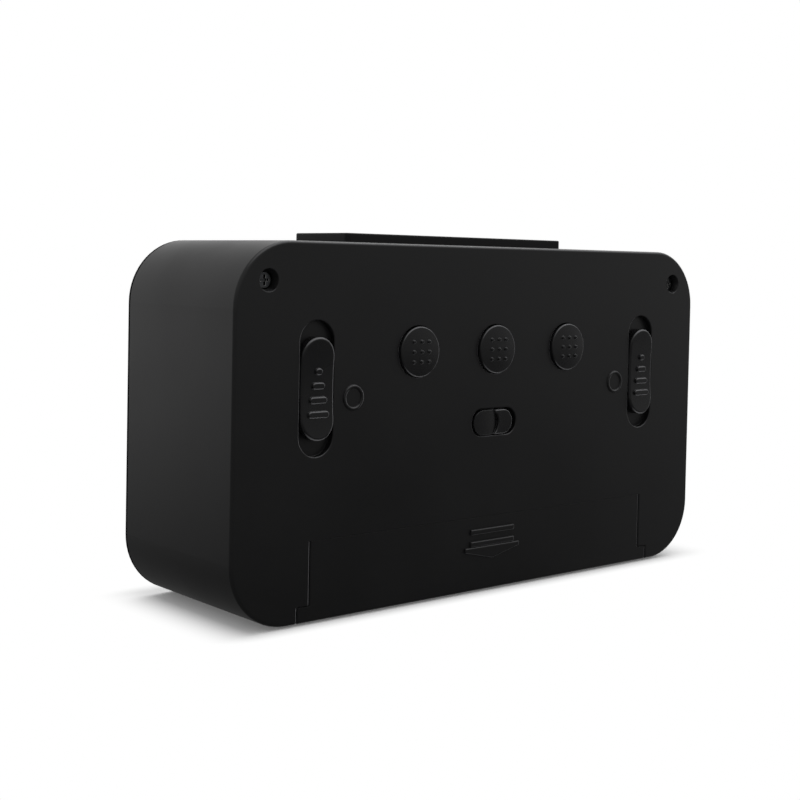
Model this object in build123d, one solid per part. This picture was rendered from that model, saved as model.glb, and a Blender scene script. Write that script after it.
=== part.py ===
from build123d import *
import math
import os

# A digital quartz alarm clock: a moulded bucket case closed at the front by a
# bezel with a clear lens. X runs across, with the right side as seen from the
# front at +X, Y runs from front to rear, and Z runs up from the case bottom.

# Outer form
case_width = 130.0
case_height = 71.5
case_depth = 38.0
corner_radius = 12.6
side_wall = 2.0
rear_wall = 2.2
rear_edge_fillet = 0.65
opening_round = 0.25
mouth_round = 0.15
parting_round = 0.2
foot_stand = 0.5

# Shared gaps
cut_overrun = 1.0
moving_gap = 0.3
rest_gap = 0.2
screw_gap = 0.05
weld_depth = 0.4

# Front bezel and lens
bezel_edge = 0.6
bezel_edge_fillet = 0.15
skirt_gap = 0.15
skirt_wall = 1.6
skirt_reach = 4.6
lens_inset = 3.5
lens_gap = 0.1
lens_thick = 1.5
ledge_thick = 1.2
window_inset = 12.0
window_radius = 2.0
snap_x = 30.0
snap_width = 8.0
snap_reach = 5.0
snap_wall = 1.4
snap_barb = 0.7
snap_barb_length = 1.8

# Display stack
lcd_overlap = 1.0
lcd_thick = 2.2
guide_inset = 4.0
guide_thick = 3.0
guide_gap = 0.2
holder_wall = 1.8
holder_gap = 0.2
holder_corner = 3.0
zebra_width = 1.8
zebra_end_inset = 9.0
led_depth = 2.2
led_height = 3.0
led_length = 2.4

# Main board and what is soldered to it
board_thick = 1.6
board_inset = 4.4
main_board_bottom = 9.5
board_boss_rise = 13.75
board_boss_radius = 2.3
chip_size = 10.0
chip_thick = 1.4
chip_z = 32.0
crystal_radius = 1.0
crystal_length = 6.0
crystal_x = 13.0
crystal_foot = 0.6
capacitor_radius = 2.5
capacitor_length = 7.5
capacitor_x = -16.0
capacitor_z = 41.0
buzzer_radius = 7.0
buzzer_length = 6.0
buzzer_x = 30.0
buzzer_hole_radius = 1.0
buzzer_hole_depth = 1.5
socket_width = 10.0
socket_height = 4.0
socket_length = 4.0
ribbon_x = -33.0
ribbon_width = 8.0
ribbon_thick = 0.5
ribbon_bend_share = 0.28
ribbon_fall = 10.0

# Small screws
small_screw_radius = 0.8
small_screw_length = 5.0
small_head_radius = 1.8
small_head_thick = 1.3
board_hole_radius = 1.1

# Case screws in their flared recesses
recess_radius = 1.65
recess_mouth = 2.15
recess_flare = 1.3
recess_depth = 3.0
recess_floor = 1.5
recess_wall = 1.75
post_radius = 2.6
post_wall_gap = 0.6
case_screw_radius = 0.9
case_screw_length = 9.0
case_head_radius = 1.45
case_head_thick = 1.4
cross_width = 0.5
cross_length = 2.0
cross_depth = 0.7

# Three push buttons
button_radius = 5.04
button_pitch = 21.4
button_drop = 21.3
button_gap = 0.12
button_side = 0.7
button_crown = 0.4
button_edge_fillet = 0.3
button_lip = 1.2
button_lip_thick = 1.0
button_stem_radius = 2.0
button_travel = 0.7
dot_pitch = 2.0
dot_foot_radius = 0.5
dot_top_radius = 0.28
dot_height = 0.35
dot_rows = 3

# Tactile switches under the push buttons and the snooze bar
tact_size = 6.0
tact_thick = 3.5
tact_plunger_radius = 1.7
tact_plunger_gap = 0.1
tact_plunger_rise = 0.8
tact_plunger_sunk = 0.7

# Two alarm sliders, each in a shallow well
slider_inset = 18.56
slider_drop = 27.6
slot_length = 25.64
slot_width = 7.94
well_depth = 1.3
well_floor = 1.1
well_wall = 1.2
knob_length = 19.5
knob_gap = 0.15
knob_proud = 1.0
knob_dip = 0.7
knob_edge_fillet = 0.5
rib_thick = 1.3
rib_height = 0.5
rib_round = 0.3
rib_drop = -3.25
rib_pitch = 2.68
rib_lengths = [1.6, 2.9, 4.0, 4.8]
stem_width = 3.2
stem_length = 5.0
stem_reach = 2.2
stem_barb = 0.5
stem_barb_height = 0.8
ring_shift = 8.74
ring_drop = 2.06
ring_radius = 2.48
ring_bead = 0.33

# Centre selector with its sliding cover plate behind the wall
selector_drop = 36.5
selector_slot_length = 12.8
selector_slot_width = 5.6
selector_knob_length = 11.0
selector_gap = 0.25
selector_wall = 1.2
selector_plate_thick = 1.0
selector_plate_lap = 0.8
selector_proud = 0.5
selector_edge_fillet = 0.25
selector_stem = 3.0
notch_share = 0.64
notch_radius = 3.2
notch_crest_inset = 1.6
notch_crest_drop = 0.05
notch_ramp_radius = 25.0

# Slide switches
switch_length = 13.0
switch_width = 6.0
switch_thick = 3.2
lever_size = 1.8
lever_sunk = 1.2
lever_rise = 2.2
lever_gap = 0.15

# Key board behind the rear wall
key_board_margin = 5.6
key_boss_radius = 2.5
key_boss_edge = 3.2

# Snooze bar on the top
snooze_length = 62.1
snooze_depth = 17.9
snooze_setback = 8.8
snooze_proud = 2.05
snooze_corner = 1.0
snooze_edge_fillet = 0.3
snooze_wall = 1.5
snooze_lip = 1.5
snooze_lip_thick = 1.0
snooze_switch_x = 18.0
snooze_stem_radius = 2.0
snooze_travel = 0.7
snooze_board_thick = 1.2
snooze_board_drop = 11.5
snooze_board_depth = 13.0
snooze_post_shift = 5.5
snooze_post_radius = 2.4
snooze_board_end = 3.5
board_gap = 0.8

# Bent pins that join the snooze board to the key board
pin_size = 0.64
pin_pitch = 2.54
pin_count = 3
pin_bend = 0.8
pin_reach = 4.3
pin_drop = 2.5

# Battery bay, cells and contacts
cell_radius = 5.25
cell_length = 44.5
cell_nub_radius = 1.9
cell_nub_length = 1.0
cell_gap = 0.3
cell_door_gap = 0.95
bay_wall = 1.5
contact_thick = 0.4
contact_width = 8.0
contact_height = 8.6
tab_height = 2.4
tab_reach = 1.4
tab_gap = 0.15
spring_length = 3.7
spring_wire_radius = 0.35
spring_base_radius = 3.9
spring_tip_radius = 2.3
spring_turns = 2.5
spring_end_gap = 0.05
wire_radius = 0.65
wire_bend_share = 0.45
wire_rise = 9.0
wire_inset = 7.0

# Battery door, which wraps from the rear face under the bottom
door_top = 15.3
door_thick = 2.0
door_lap = 0.45
door_gap = 0.15
door_top_gap = 0.05
door_side_round = 0.4
door_foot_step = 2.8
door_foot_height = 3.1
door_foot_reach = 7.0
tongue_width = 1.2
tongue_thick = 1.0
tongue_root = 1.0
tongue_gap = 0.15
tongue_edge = 0.4
tongue_top_inset = 1.3
door_rib_width = 1.2
door_rib_x = 23.0
grip_raise = 0.45
grip_round = 0.25
grip_bar_length = 12.5
grip_bar_height = 1.1
grip_bar_drop = 2.95
grip_bar_pitch = 2.5
grip_bars = 2
arrow_width = 15.6
arrow_side = 0.9
arrow_drop = 6.1
arrow_fall = 1.8

# Rubber feet
foot_radius = 4.0
foot_sunk = 0.7
foot_x = 47.0
foot_front_inset = 6.8
foot_door_gap = 1.3

# Planes worked out from the sizes above
rear_face = case_depth / 2
front_face = -case_depth / 2
rear_inner = rear_face - rear_wall
shell_front = front_face + bezel_edge
top_inner = case_height - side_wall
mid_z = case_height / 2

lens_back = front_face + lens_thick
ledge_back = lens_back + ledge_thick
skirt_back = shell_front + skirt_reach
window_width = case_width - 2 * window_inset
window_height = case_height - 2 * window_inset
lcd_width = window_width + 2 * lcd_overlap
lcd_height = window_height + 2 * lcd_overlap
lcd_back = ledge_back + lcd_thick
guide_width = lcd_width - 2 * guide_inset
guide_height = lcd_height - 2 * guide_inset
main_front = lcd_back + guide_thick + guide_gap
main_rear = main_front + board_thick

snooze_board_low = case_height - snooze_board_drop
snooze_board_high = snooze_board_low + snooze_board_thick
snooze_mid_y = front_face + snooze_setback + snooze_depth / 2
snooze_post_x = snooze_length / 2 + snooze_post_shift
main_board_top = snooze_board_low - board_gap
board_boss_x = lcd_width / 2 + holder_gap + holder_wall + rest_gap + board_boss_radius

screw_edge = side_wall + post_wall_gap + post_radius
screw_corner_run = (corner_radius - screw_edge) / math.sqrt(2)
screw_x = case_width / 2 - corner_radius + screw_corner_run
screw_z = case_height - corner_radius + screw_corner_run
recess_seat = rear_face - recess_depth
boss_front = recess_seat - recess_floor

rear_proud = button_side + button_crown + dot_height
button_z = case_height - button_drop
button_lip_rear = rear_inner - rest_gap
button_lip_front = button_lip_rear - button_lip_thick
slider_x = case_width / 2 - slider_inset
slider_z = case_height - slider_drop
well_face = rear_face - well_depth
well_back = well_face - well_floor
knob_width = slot_width - 2 * knob_gap
slider_travel = (slot_length - knob_length) / 2 - moving_gap
knob_base = well_face + rest_gap
knob_top = rear_face + knob_proud
scoop_half = knob_length / 2
scoop_radius = (scoop_half**2 + knob_dip**2) / (2 * knob_dip)
selector_z = case_height - selector_drop
selector_knob_width = selector_slot_width - 2 * selector_gap
selector_travel = selector_slot_length - selector_knob_length - 2 * selector_gap
selector_x = selector_travel / 2
selector_plate_rear = rear_face - selector_wall - rest_gap
selector_plate_front = selector_plate_rear - selector_plate_thick

# The key board stands where a slide switch lever just reaches into a slider stem
switch_rear = well_back - stem_barb_height - rest_gap - moving_gap - stem_reach
key_rear = switch_rear - switch_thick
key_front = key_rear - board_thick
tact_top = key_rear + tact_thick
plunger_top = tact_top + tact_plunger_rise
bay_top = door_top + door_gap
key_board_half = slider_x + key_board_margin
key_board_low = (bay_top + bay_wall + selector_z - switch_width / 2) / 2
key_board_high = snooze_board_low - board_gap
key_boss_x = (button_pitch + slider_x) / 2
key_boss_zs = [key_board_low + key_boss_edge, key_board_high - key_boss_edge]
ribbon_high_z = (key_board_low + key_board_high) / 2
ribbon_low_z = ribbon_high_z - ribbon_fall

bay_half = cell_length + contact_thick + spring_length / 2
door_half = bay_half + door_lap
door_foot_half = door_half + door_foot_step
door_foot_front = rear_face - door_foot_reach
tongue_rear = rear_inner - tongue_gap
tongue_front = tongue_rear - tongue_thick
bay_rail_rear = tongue_front - tongue_gap
cell_y = rear_face - door_thick - cell_door_gap - cell_radius
cell_z = side_wall + cell_gap + cell_radius
bay_front = cell_y - cell_radius - cell_gap
bay_outer_front = bay_front - bay_wall
bay_outer_half = bay_half + bay_wall
foot_y_front = front_face + foot_front_inset
foot_y_rear = door_foot_front - door_gap - foot_door_gap - foot_radius


def depth_prism(sketch, rear, front):
    # A sketch drawn in X and Z, run from its rear plane to its front plane
    return extrude(Plane.XZ.offset(-rear) * sketch, amount=rear - front)


def height_prism(sketch, low, high):
    return extrude(Plane.XY.offset(low) * sketch, amount=high - low)


def block(x_range, y_range, z_range):
    spans = [x_range, y_range, z_range]
    size = [high - low for low, high in spans]
    centre = [(high + low) / 2 for low, high in spans]
    return Pos(*centre) * Box(*size)


def span(centre, length):
    return (centre - length / 2, centre + length / 2)


def group(pieces):
    return Compound([solid for piece in pieces for solid in piece.solids()])


def sides(value):
    # The mirrored pair of X places, left first
    return [-value, value]


def case_outline(inset):
    width = case_width - 2 * inset
    height = case_height - 2 * inset
    return Pos(0, mid_z) * RectangleRounded(width, height, corner_radius - inset)


def outer_form():
    form = depth_prism(case_outline(0), rear_face, shell_front)
    form = fillet(form.edges().group_by(Axis.Y)[-1], rear_edge_fillet)
    return fillet(form.edges().group_by(Axis.Y)[0], parting_round)


def upright_slot(length, width, x, z):
    return Pos(x, z) * SlotOverall(length, width, rotation=90)


def level_slot(length, width, x, z):
    return Pos(x, z) * SlotOverall(length, width)


def door_opening(gap):
    # The wide foot below, the narrower leg above and the strip under the case
    leg = block(
        (-door_half - gap, door_half + gap),
        (rear_inner - rest_gap, rear_face + cut_overrun),
        (-cut_overrun, door_top + door_top_gap),
    )
    foot = block(
        (-door_foot_half - gap, door_foot_half + gap),
        (rear_inner - rest_gap, rear_face + cut_overrun),
        (-cut_overrun, door_foot_height + gap),
    )
    strip = block(
        (-door_foot_half - gap, door_foot_half + gap),
        (door_foot_front - gap, rear_face + cut_overrun),
        (-cut_overrun, side_wall + gap),
    )
    return leg + foot + strip


def battery_bay():
    sunk = side_wall - weld_depth
    ceiling = block(
        (-bay_outer_half, bay_outer_half),
        (bay_outer_front, rear_inner + weld_depth),
        (bay_top, bay_top + bay_wall),
    )
    front = block(
        (-bay_outer_half, bay_outer_half),
        (bay_outer_front, bay_front),
        (sunk, bay_top + bay_wall),
    )
    walls = ceiling + front
    for x in sides(bay_half + bay_wall / 2):
        walls += block(span(x, bay_wall), (bay_outer_front, bay_rail_rear), (sunk, bay_top + bay_wall))
    for x in sides(bay_half - contact_thick / 2):
        slot = block(
            span(x, contact_thick + 2 * tab_gap),
            (bay_outer_front - cut_overrun, bay_front + cut_overrun),
            span(cell_z, tab_height + 2 * tab_gap),
        )
        walls -= slot
    return walls


def snooze_opening():
    sketch = RectangleRounded(
        snooze_length + 2 * moving_gap, snooze_depth + 2 * moving_gap, snooze_corner + moving_gap
    )
    return height_prism(Pos(0, snooze_mid_y) * sketch, top_inner - cut_overrun, case_height + cut_overrun)


def foot_places():
    return [(x, y) for y in (foot_y_front, foot_y_rear) for x in sides(foot_x)]


def rear_case():
    cavity = depth_prism(case_outline(side_wall), rear_inner, shell_front - cut_overrun)
    case = outer_form() - cavity
    weld_rear = rear_inner + weld_depth

    for x in sides(slider_x):
        well = upright_slot(slot_length + 2 * well_wall, slot_width + 2 * well_wall, x, slider_z)
        case += depth_prism(well, weld_rear, well_back)
    for x in sides(screw_x):
        case += depth_prism(Pos(x, screw_z) * Circle(recess_radius + recess_wall), weld_rear, boss_front)
    for x in sides(key_boss_x):
        for z in key_boss_zs:
            case += depth_prism(Pos(x, z) * Circle(key_boss_radius), weld_rear, key_rear)
    for x in sides(snooze_post_x):
        post = Pos(x, snooze_mid_y) * Circle(snooze_post_radius)
        case += height_prism(post, snooze_board_high, top_inner + weld_depth)
    case += battery_bay()

    for x in sides(slider_x):
        inner = (1 if x < 0 else -1) * ring_shift
        ring = Rot(90, 0, 0) * Torus(ring_radius - ring_bead, ring_bead)
        case += Pos(x + inner, rear_face, slider_z - ring_drop) * ring

    for x in sides(slider_x):
        well = upright_slot(slot_length, slot_width, x, slider_z)
        case -= depth_prism(well, rear_face + cut_overrun, well_face)
        stem_slot = block(
            span(x, stem_width + 2 * moving_gap),
            (well_back - cut_overrun, well_face + cut_overrun),
            span(slider_z, stem_length + 2 * slider_travel + 2 * moving_gap),
        )
        case -= stem_slot
    for x in sides(screw_x):
        spot = Pos(x, screw_z)
        case -= depth_prism(spot * Circle(recess_radius), rear_face + cut_overrun, recess_seat)
        flare = Rot(-90, 0, 0) * Cone(recess_radius, recess_mouth, recess_flare)
        case -= Pos(x, rear_face - recess_flare / 2, screw_z) * flare
        shank = Circle(case_screw_radius + rest_gap)
        case -= depth_prism(spot * shank, recess_seat + cut_overrun, boss_front - cut_overrun)
    for x in [-button_pitch, 0, button_pitch]:
        hole = Pos(x, button_z) * Circle(button_radius + button_gap)
        case -= depth_prism(hole, rear_face + cut_overrun, rear_inner - cut_overrun)
    pilot = Circle(small_screw_radius + screw_gap)
    pilot_depth = small_screw_length - board_thick + rest_gap
    for x in sides(key_boss_x):
        for z in key_boss_zs:
            case -= depth_prism(Pos(x, z) * pilot, key_rear + pilot_depth, key_rear - cut_overrun)
    snooze_pilot_depth = small_screw_length - snooze_board_thick + rest_gap
    for x in sides(snooze_post_x):
        hole = Pos(x, snooze_mid_y) * pilot
        case -= height_prism(hole, snooze_board_high - cut_overrun, snooze_board_high + snooze_pilot_depth)

    selector = level_slot(selector_slot_length, selector_slot_width, 0, selector_z)
    case -= depth_prism(selector, rear_face + cut_overrun, rear_inner - cut_overrun)
    pocket_half = selector_plate_length() / 2 + selector_travel / 2 + moving_gap
    pocket_height = selector_slot_width + 2 * selector_plate_lap + 2 * moving_gap
    case -= block(
        (-pocket_half, pocket_half),
        (rear_inner - cut_overrun, rear_face - selector_wall),
        span(selector_z, pocket_height),
    )
    case -= door_opening(door_gap)
    case -= snooze_opening()
    for x, y in foot_places():
        recess = Pos(x, y) * Circle(foot_radius + rest_gap)
        case -= height_prism(recess, -cut_overrun, foot_sunk)
    for x in sides(snap_x):
        case -= block(
            span(x, snap_width + 2 * moving_gap),
            span(skirt_back + snap_reach - snap_barb_length / 2, snap_barb_length + 2 * rest_gap),
            (side_wall - snap_barb, side_wall + weld_depth),
        )
    return rounded_openings(case)


def rear_rim(shape, x, z, width, height):
    # Edges on the rear face that bound the opening centred at x and z
    def bounds_opening(edge):
        middle = edge.center()
        across = abs(middle.X - x) < width / 2 + moving_gap
        along = abs(middle.Z - z) < height / 2 + moving_gap
        return across and along and abs(middle.Y - rear_face) < screw_gap

    return shape.edges().filter_by(bounds_opening)


def rounded_openings(case):
    rims = []
    for x in sides(slider_x):
        rims += rear_rim(case, x, slider_z, slot_width, slot_length)
    rims += rear_rim(case, 0, selector_z, selector_slot_length, selector_slot_width)
    case = fillet(rims, opening_round)
    mouths = []
    for x in [-button_pitch, 0, button_pitch]:
        mouths += rear_rim(case, x, button_z, 2 * button_radius, 2 * button_radius)
    for x in sides(screw_x):
        mouths += rear_rim(case, x, screw_z, 2 * recess_mouth, 2 * recess_mouth)
    case = fillet(mouths, mouth_round)
    return fillet(door_uprights(case, door_gap), door_side_round)


def door_uprights(shape, gap):
    # Upright edges on the rear face, beside the door's leg and beside its foot
    edges = []
    for x in sides(door_half + gap):
        edges += rear_rim(shape, x, (door_foot_height + door_top) / 2, 0, moving_gap)
    for x in sides(door_foot_half + gap):
        edges += rear_rim(shape, x, (door_foot_height + rear_edge_fillet) / 2, 0, moving_gap)
    return edges


def screw_posts():
    # Long posts that carry the case screws from the rear to the bezel
    posts = Part()
    for x in sides(screw_x):
        spot = Pos(x, screw_z)
        post = depth_prism(spot * Circle(post_radius), boss_front, ledge_back - weld_depth)
        pilot_front = recess_seat - case_screw_length - rest_gap
        pilot = Circle(case_screw_radius + screw_gap)
        posts += post - depth_prism(spot * pilot, boss_front + cut_overrun, pilot_front)
    return posts


def front_bezel():
    rim = depth_prism(case_outline(0), shell_front, front_face)
    rim = fillet(rim.edges().group_by(Axis.Y)[0], bezel_edge_fillet)
    rim = fillet(rim.edges().group_by(Axis.Y)[-1], parting_round)
    inset = side_wall + skirt_gap
    skirt = depth_prism(case_outline(inset), skirt_back, shell_front - weld_depth)
    hollow = depth_prism(case_outline(inset + skirt_wall), skirt_back + cut_overrun, ledge_back)
    bezel = rim + (skirt - hollow)

    bezel += screw_posts()
    for x in sides(board_boss_x):
        for z in span(mid_z, 2 * board_boss_rise):
            boss = Pos(x, z) * Circle(board_boss_radius)
            bezel += depth_prism(boss, main_front, ledge_back - weld_depth)
            pilot = Pos(x, z) * Circle(small_screw_radius + screw_gap)
            pilot_front = main_rear - small_screw_length - rest_gap
            bezel -= depth_prism(pilot, main_front + cut_overrun, pilot_front)

    snap_low = inset
    snap_end = skirt_back + snap_reach
    for x in sides(snap_x):
        tongue = block(
            span(x, snap_width),
            (skirt_back - weld_depth, snap_end),
            (snap_low, snap_low + snap_wall),
        )
        barb_drop = snap_barb - rest_gap + skirt_gap
        wedge = Polyline(
            (snap_end - snap_barb_length, snap_low + weld_depth),
            (snap_end - snap_barb_length, snap_low - barb_drop),
            (snap_end, snap_low),
            (snap_end, snap_low + weld_depth),
            close=True,
        )
        wedge = Plane.YZ.offset(x - snap_width / 2) * make_face(wedge)
        bezel += tongue + extrude(wedge, amount=snap_width)

    bezel -= depth_prism(case_outline(lens_inset), lens_back, front_face - cut_overrun)
    window = Pos(0, mid_z) * RectangleRounded(window_width, window_height, window_radius)
    bezel -= depth_prism(window, ledge_back + weld_depth, lens_back - weld_depth)
    return bezel


def front_lens():
    lens = depth_prism(case_outline(lens_inset + lens_gap), lens_back, front_face)
    return fillet(lens.edges().group_by(Axis.Y)[0], bezel_edge_fillet)


def display_rectangle(width, height):
    return Pos(0, mid_z) * Rectangle(width, height)


def lcd_panel():
    return depth_prism(display_rectangle(lcd_width, lcd_height), lcd_back, ledge_back)


def zebra_place(width_gap):
    z = mid_z - lcd_height / 2 + guide_inset / 2
    half = lcd_width / 2 - zebra_end_inset + width_gap
    return (-half, half), span(z, zebra_width + 2 * width_gap)


def lcd_holder():
    pocket_width = lcd_width + 2 * holder_gap
    pocket_height = lcd_height + 2 * holder_gap
    outer = RectangleRounded(pocket_width + 2 * holder_wall, pocket_height + 2 * holder_wall, holder_corner)
    holder = depth_prism(Pos(0, mid_z) * outer, main_front, ledge_back)
    pocket = display_rectangle(pocket_width, pocket_height)
    holder -= depth_prism(pocket, lcd_back, ledge_back - cut_overrun)
    guide =display_rectangle(guide_width + 2 * holder_gap, guide_height + 2 * holder_gap)
    holder -= depth_prism(guide, main_front + cut_overrun, ledge_back)
    zebra_x, zebra_z = zebra_place(holder_gap)
    holder -= block(zebra_x, (lcd_back - cut_overrun, main_front + cut_overrun), zebra_z)
    for x in sides(guide_width / 2 + led_depth / 2):
        holder -= block(
            span(x, led_depth + 2 * holder_gap),
            (main_front - led_length - holder_gap, main_front + cut_overrun),
            span(mid_z, led_height + 2 * holder_gap),
        )
    return holder


def light_guide():
    return depth_prism(display_rectangle(guide_width, guide_height), lcd_back + guide_thick, lcd_back)


def backlight_leds():
    lamps = []
    for x in sides(guide_width / 2 + holder_gap + led_depth / 2):
        lamp_y = (main_front - led_length, main_front)
        lamps.append(block(span(x, led_depth), lamp_y, span(mid_z, led_height)))
    return group(lamps)


def zebra_strip():
    zebra_x, zebra_z = zebra_place(0)
    return block(zebra_x, (lcd_back, main_front), zebra_z)


def main_board():
    half = case_width / 2 - board_inset
    board = block((-half, half), (main_front, main_rear), (main_board_bottom, main_board_top))
    for x in sides(board_boss_x):
        for z in span(mid_z, 2 * board_boss_rise):
            hole = Pos(x, z) * Circle(board_hole_radius)
            board -= depth_prism(hole, main_rear + cut_overrun, main_front - cut_overrun)
    return board


def small_screw():
    # Head on the plane of the board, shank running down from it
    shank = height_prism(Circle(small_screw_radius), -small_screw_length, 0)
    head = height_prism(Circle(small_head_radius), 0, small_head_thick)
    cross = Box(cross_length, cross_width, cross_depth) + Box(cross_width, cross_length, cross_depth)
    return shank + head - Pos(0, 0, small_head_thick - cross_depth / 2) * cross


def main_board_screws():
    turned = Rot(-90, 0, 0) * small_screw()
    places = [(x, z) for x in sides(board_boss_x) for z in span(mid_z, 2 * board_boss_rise)]
    return group(Pos(x, main_rear, z) * turned for x, z in places)


def clock_chip():
    return block(span(0, chip_size), (main_rear, main_rear + chip_thick), span(chip_z, chip_size))


def quartz_crystal():
    # A tuning fork can lying along X on its two bent legs
    axis_y = main_rear + crystal_foot + crystal_radius
    can = Pos(crystal_x, axis_y, chip_z) * Rot(0, 90, 0) * Cylinder(crystal_radius, crystal_length)
    leg = block(span(crystal_x, crystal_radius), (main_rear, axis_y), span(chip_z, crystal_radius))
    return can + leg


def smoothing_capacitor():
    spot = Pos(capacitor_x, capacitor_z) * Circle(capacitor_radius)
    return depth_prism(spot, main_rear + capacitor_length, main_rear)


def buzzer():
    spot = Pos(buzzer_x, mid_z)
    can_rear = main_rear + buzzer_length
    can = depth_prism(spot * Circle(buzzer_radius), can_rear, main_rear)
    hole_front = can_rear - buzzer_hole_depth
    hole = depth_prism(spot * Circle(buzzer_hole_radius), can_rear + cut_overrun, hole_front)
    return can - hole


def ribbon_socket(front, z):
    return block(span(ribbon_x, socket_width), (front, front + socket_length), span(z, socket_height))


def ribbon_sockets():
    low = ribbon_socket(main_rear, ribbon_low_z)
    high = ribbon_socket(key_front - socket_length, ribbon_high_z)
    return group([low, high])


def ribbon_cable():
    start = main_rear + socket_length
    end = key_front - socket_length
    middle = (start + end) / 2
    points = [
        (ribbon_x, start, ribbon_low_z),
        (ribbon_x, middle, ribbon_low_z),
        (ribbon_x, middle, ribbon_high_z),
        (ribbon_x, end, ribbon_high_z),
    ]
    path = FilletPolyline(*points, radius=ribbon_bend_share * (end - start))
    section = Plane.XZ.offset(-start) * Pos(ribbon_x, ribbon_low_z) * Rectangle(ribbon_width, ribbon_thick)
    return sweep(section, path=path)


def key_board():
    board = block((-key_board_half, key_board_half), (key_front, key_rear), (key_board_low, key_board_high))
    for x in sides(key_boss_x):
        for z in key_boss_zs:
            hole = Pos(x, z) * Circle(board_hole_radius)
            board -= depth_prism(hole, key_rear + cut_overrun, key_front - cut_overrun)
    return board


def key_board_screws():
    turned = Rot(90, 0, 0) * small_screw()
    places = [(x, z) for x in sides(key_boss_x) for z in key_boss_zs]
    return group(Pos(x, key_front, z) * turned for x, z in places)


def tact_switch():
    # Body with its plunger bore, standing on the plane z = 0
    body = Pos(0, 0, tact_thick / 2) * Box(tact_size, tact_size, tact_thick)
    depth = tact_plunger_sunk + max(button_travel, snooze_travel) + tact_plunger_gap
    bore = Circle(tact_plunger_radius + tact_plunger_gap)
    return body - height_prism(bore, tact_thick - depth, tact_thick + cut_overrun)


def tact_plunger():
    low = tact_thick - tact_plunger_sunk
    return height_prism(Circle(tact_plunger_radius), low, tact_thick + tact_plunger_rise)


def on_key_board(shape, x, z):
    return Pos(x, key_rear, z) * Rot(-90, 0, 0) * shape


def tact_switches():
    return group(on_key_board(tact_switch(), x, button_z) for x in [-button_pitch, 0, button_pitch])


def button_dots():
    # Small raised cones in rows, each standing on the domed crown
    dome_radius = (button_radius**2 + button_crown**2) / (2 * button_crown)
    dome_low = rear_face + button_side + button_crown - dome_radius
    middle = (dot_rows - 1) / 2
    dots = Part()
    for row in range(dot_rows):
        for column in range(dot_rows):
            x = (column - middle) * dot_pitch
            z = (row - middle) * dot_pitch
            surface = dome_low + math.sqrt(dome_radius**2 - x**2 - z**2)
            cone = Cone(dot_foot_radius, dot_top_radius, 2 * dot_height)
            dots += Pos(x, surface, z) * Rot(-90, 0, 0) * cone
    return dots


def set_button(x):
    rim_y = rear_face + button_side
    crown_y = rim_y + button_crown
    side = Line((button_radius, button_lip_rear), (button_radius, rim_y))
    dome_radius = (button_radius**2 + button_crown**2) / (2 * button_crown)
    crown = RadiusArc((button_radius, rim_y), (0, crown_y), -dome_radius)
    profile = Polyline(
        (0, crown_y),
        (0, plunger_top),
        (button_stem_radius, plunger_top),
        (button_stem_radius, button_lip_front),
        (button_radius + button_lip, button_lip_front),
        (button_radius + button_lip, button_lip_rear),
        (button_radius, button_lip_rear),
    )
    body = revolve(make_face([side, crown, profile]), axis=Axis.Y)
    rim = body.edges().filter_by(lambda edge: edge.is_closed).group_by(Axis.Y)[-1]
    body = fillet(rim, button_edge_fillet)
    return Pos(x, 0, button_z) * (body + button_dots())


def slide_switch(travel):
    # Body with the slot its lever runs in, long side along X, rest at zero
    body = Pos(0, 0, switch_thick / 2) * Box(switch_length, switch_width, switch_thick)
    slot = Box(lever_size + travel + 2 * lever_gap, lever_size + 2 * lever_gap, lever_sunk + lever_gap)
    return body - Pos(0, 0, switch_thick - (lever_sunk + lever_gap) / 2) * slot


def slide_lever():
    height = lever_sunk + lever_rise
    return Pos(0, 0, switch_thick - lever_sunk + height / 2) * Box(lever_size, lever_size, height)


def lever_pocket(x, z):
    return block(
        span(x, lever_size + 2 * lever_gap),
        (switch_rear - cut_overrun, switch_rear + lever_rise + lever_gap),
        span(z, lever_size + 2 * lever_gap),
    )


def slide_switches():
    upright = Rot(0, 0, 90) * slide_switch(2 * slider_travel)
    return group(on_key_board(upright, x, slider_z) for x in sides(slider_x))


def scoop(radius, x):
    axis_y = knob_top - knob_dip + scoop_radius
    return Pos(x, axis_y, slider_z) * Rot(0, 90, 0) * Cylinder(radius, 2 * slot_width)


def alarm_slider(x):
    knob = depth_prism(upright_slot(knob_length, knob_width, x, slider_z), knob_top, knob_base)
    knob -= scoop(scoop_radius, x)
    face = knob.faces().filter_by(GeomType.CYLINDER).sort_by(SortBy.AREA)[-1]
    knob = fillet(face.edges(), knob_edge_fillet)
    for number, length in enumerate(rib_lengths):
        z = slider_z - rib_drop - number * rib_pitch
        bar = depth_prism(level_slot(length, rib_thick, x, z), knob_top + cut_overrun, knob_base + rest_gap)
        bar -= scoop(scoop_radius - rib_height, x)
        knob += fillet(bar.faces().sort_by(Axis.Y)[-1].edges(), rib_round)
    stem_front = switch_rear + rest_gap
    knob += block(
        span(x, stem_width), (stem_front, knob_base + weld_depth), span(slider_z, stem_length)
    )
    barb_rear = well_back - rest_gap
    knob += block(
        span(x, stem_width + 2 * stem_barb),
        (barb_rear - stem_barb_height, barb_rear),
        span(slider_z, stem_length),
    )
    return knob - lever_pocket(x, slider_z)


def selector_plate_length():
    return selector_slot_length + selector_travel + 2 * selector_plate_lap


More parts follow.
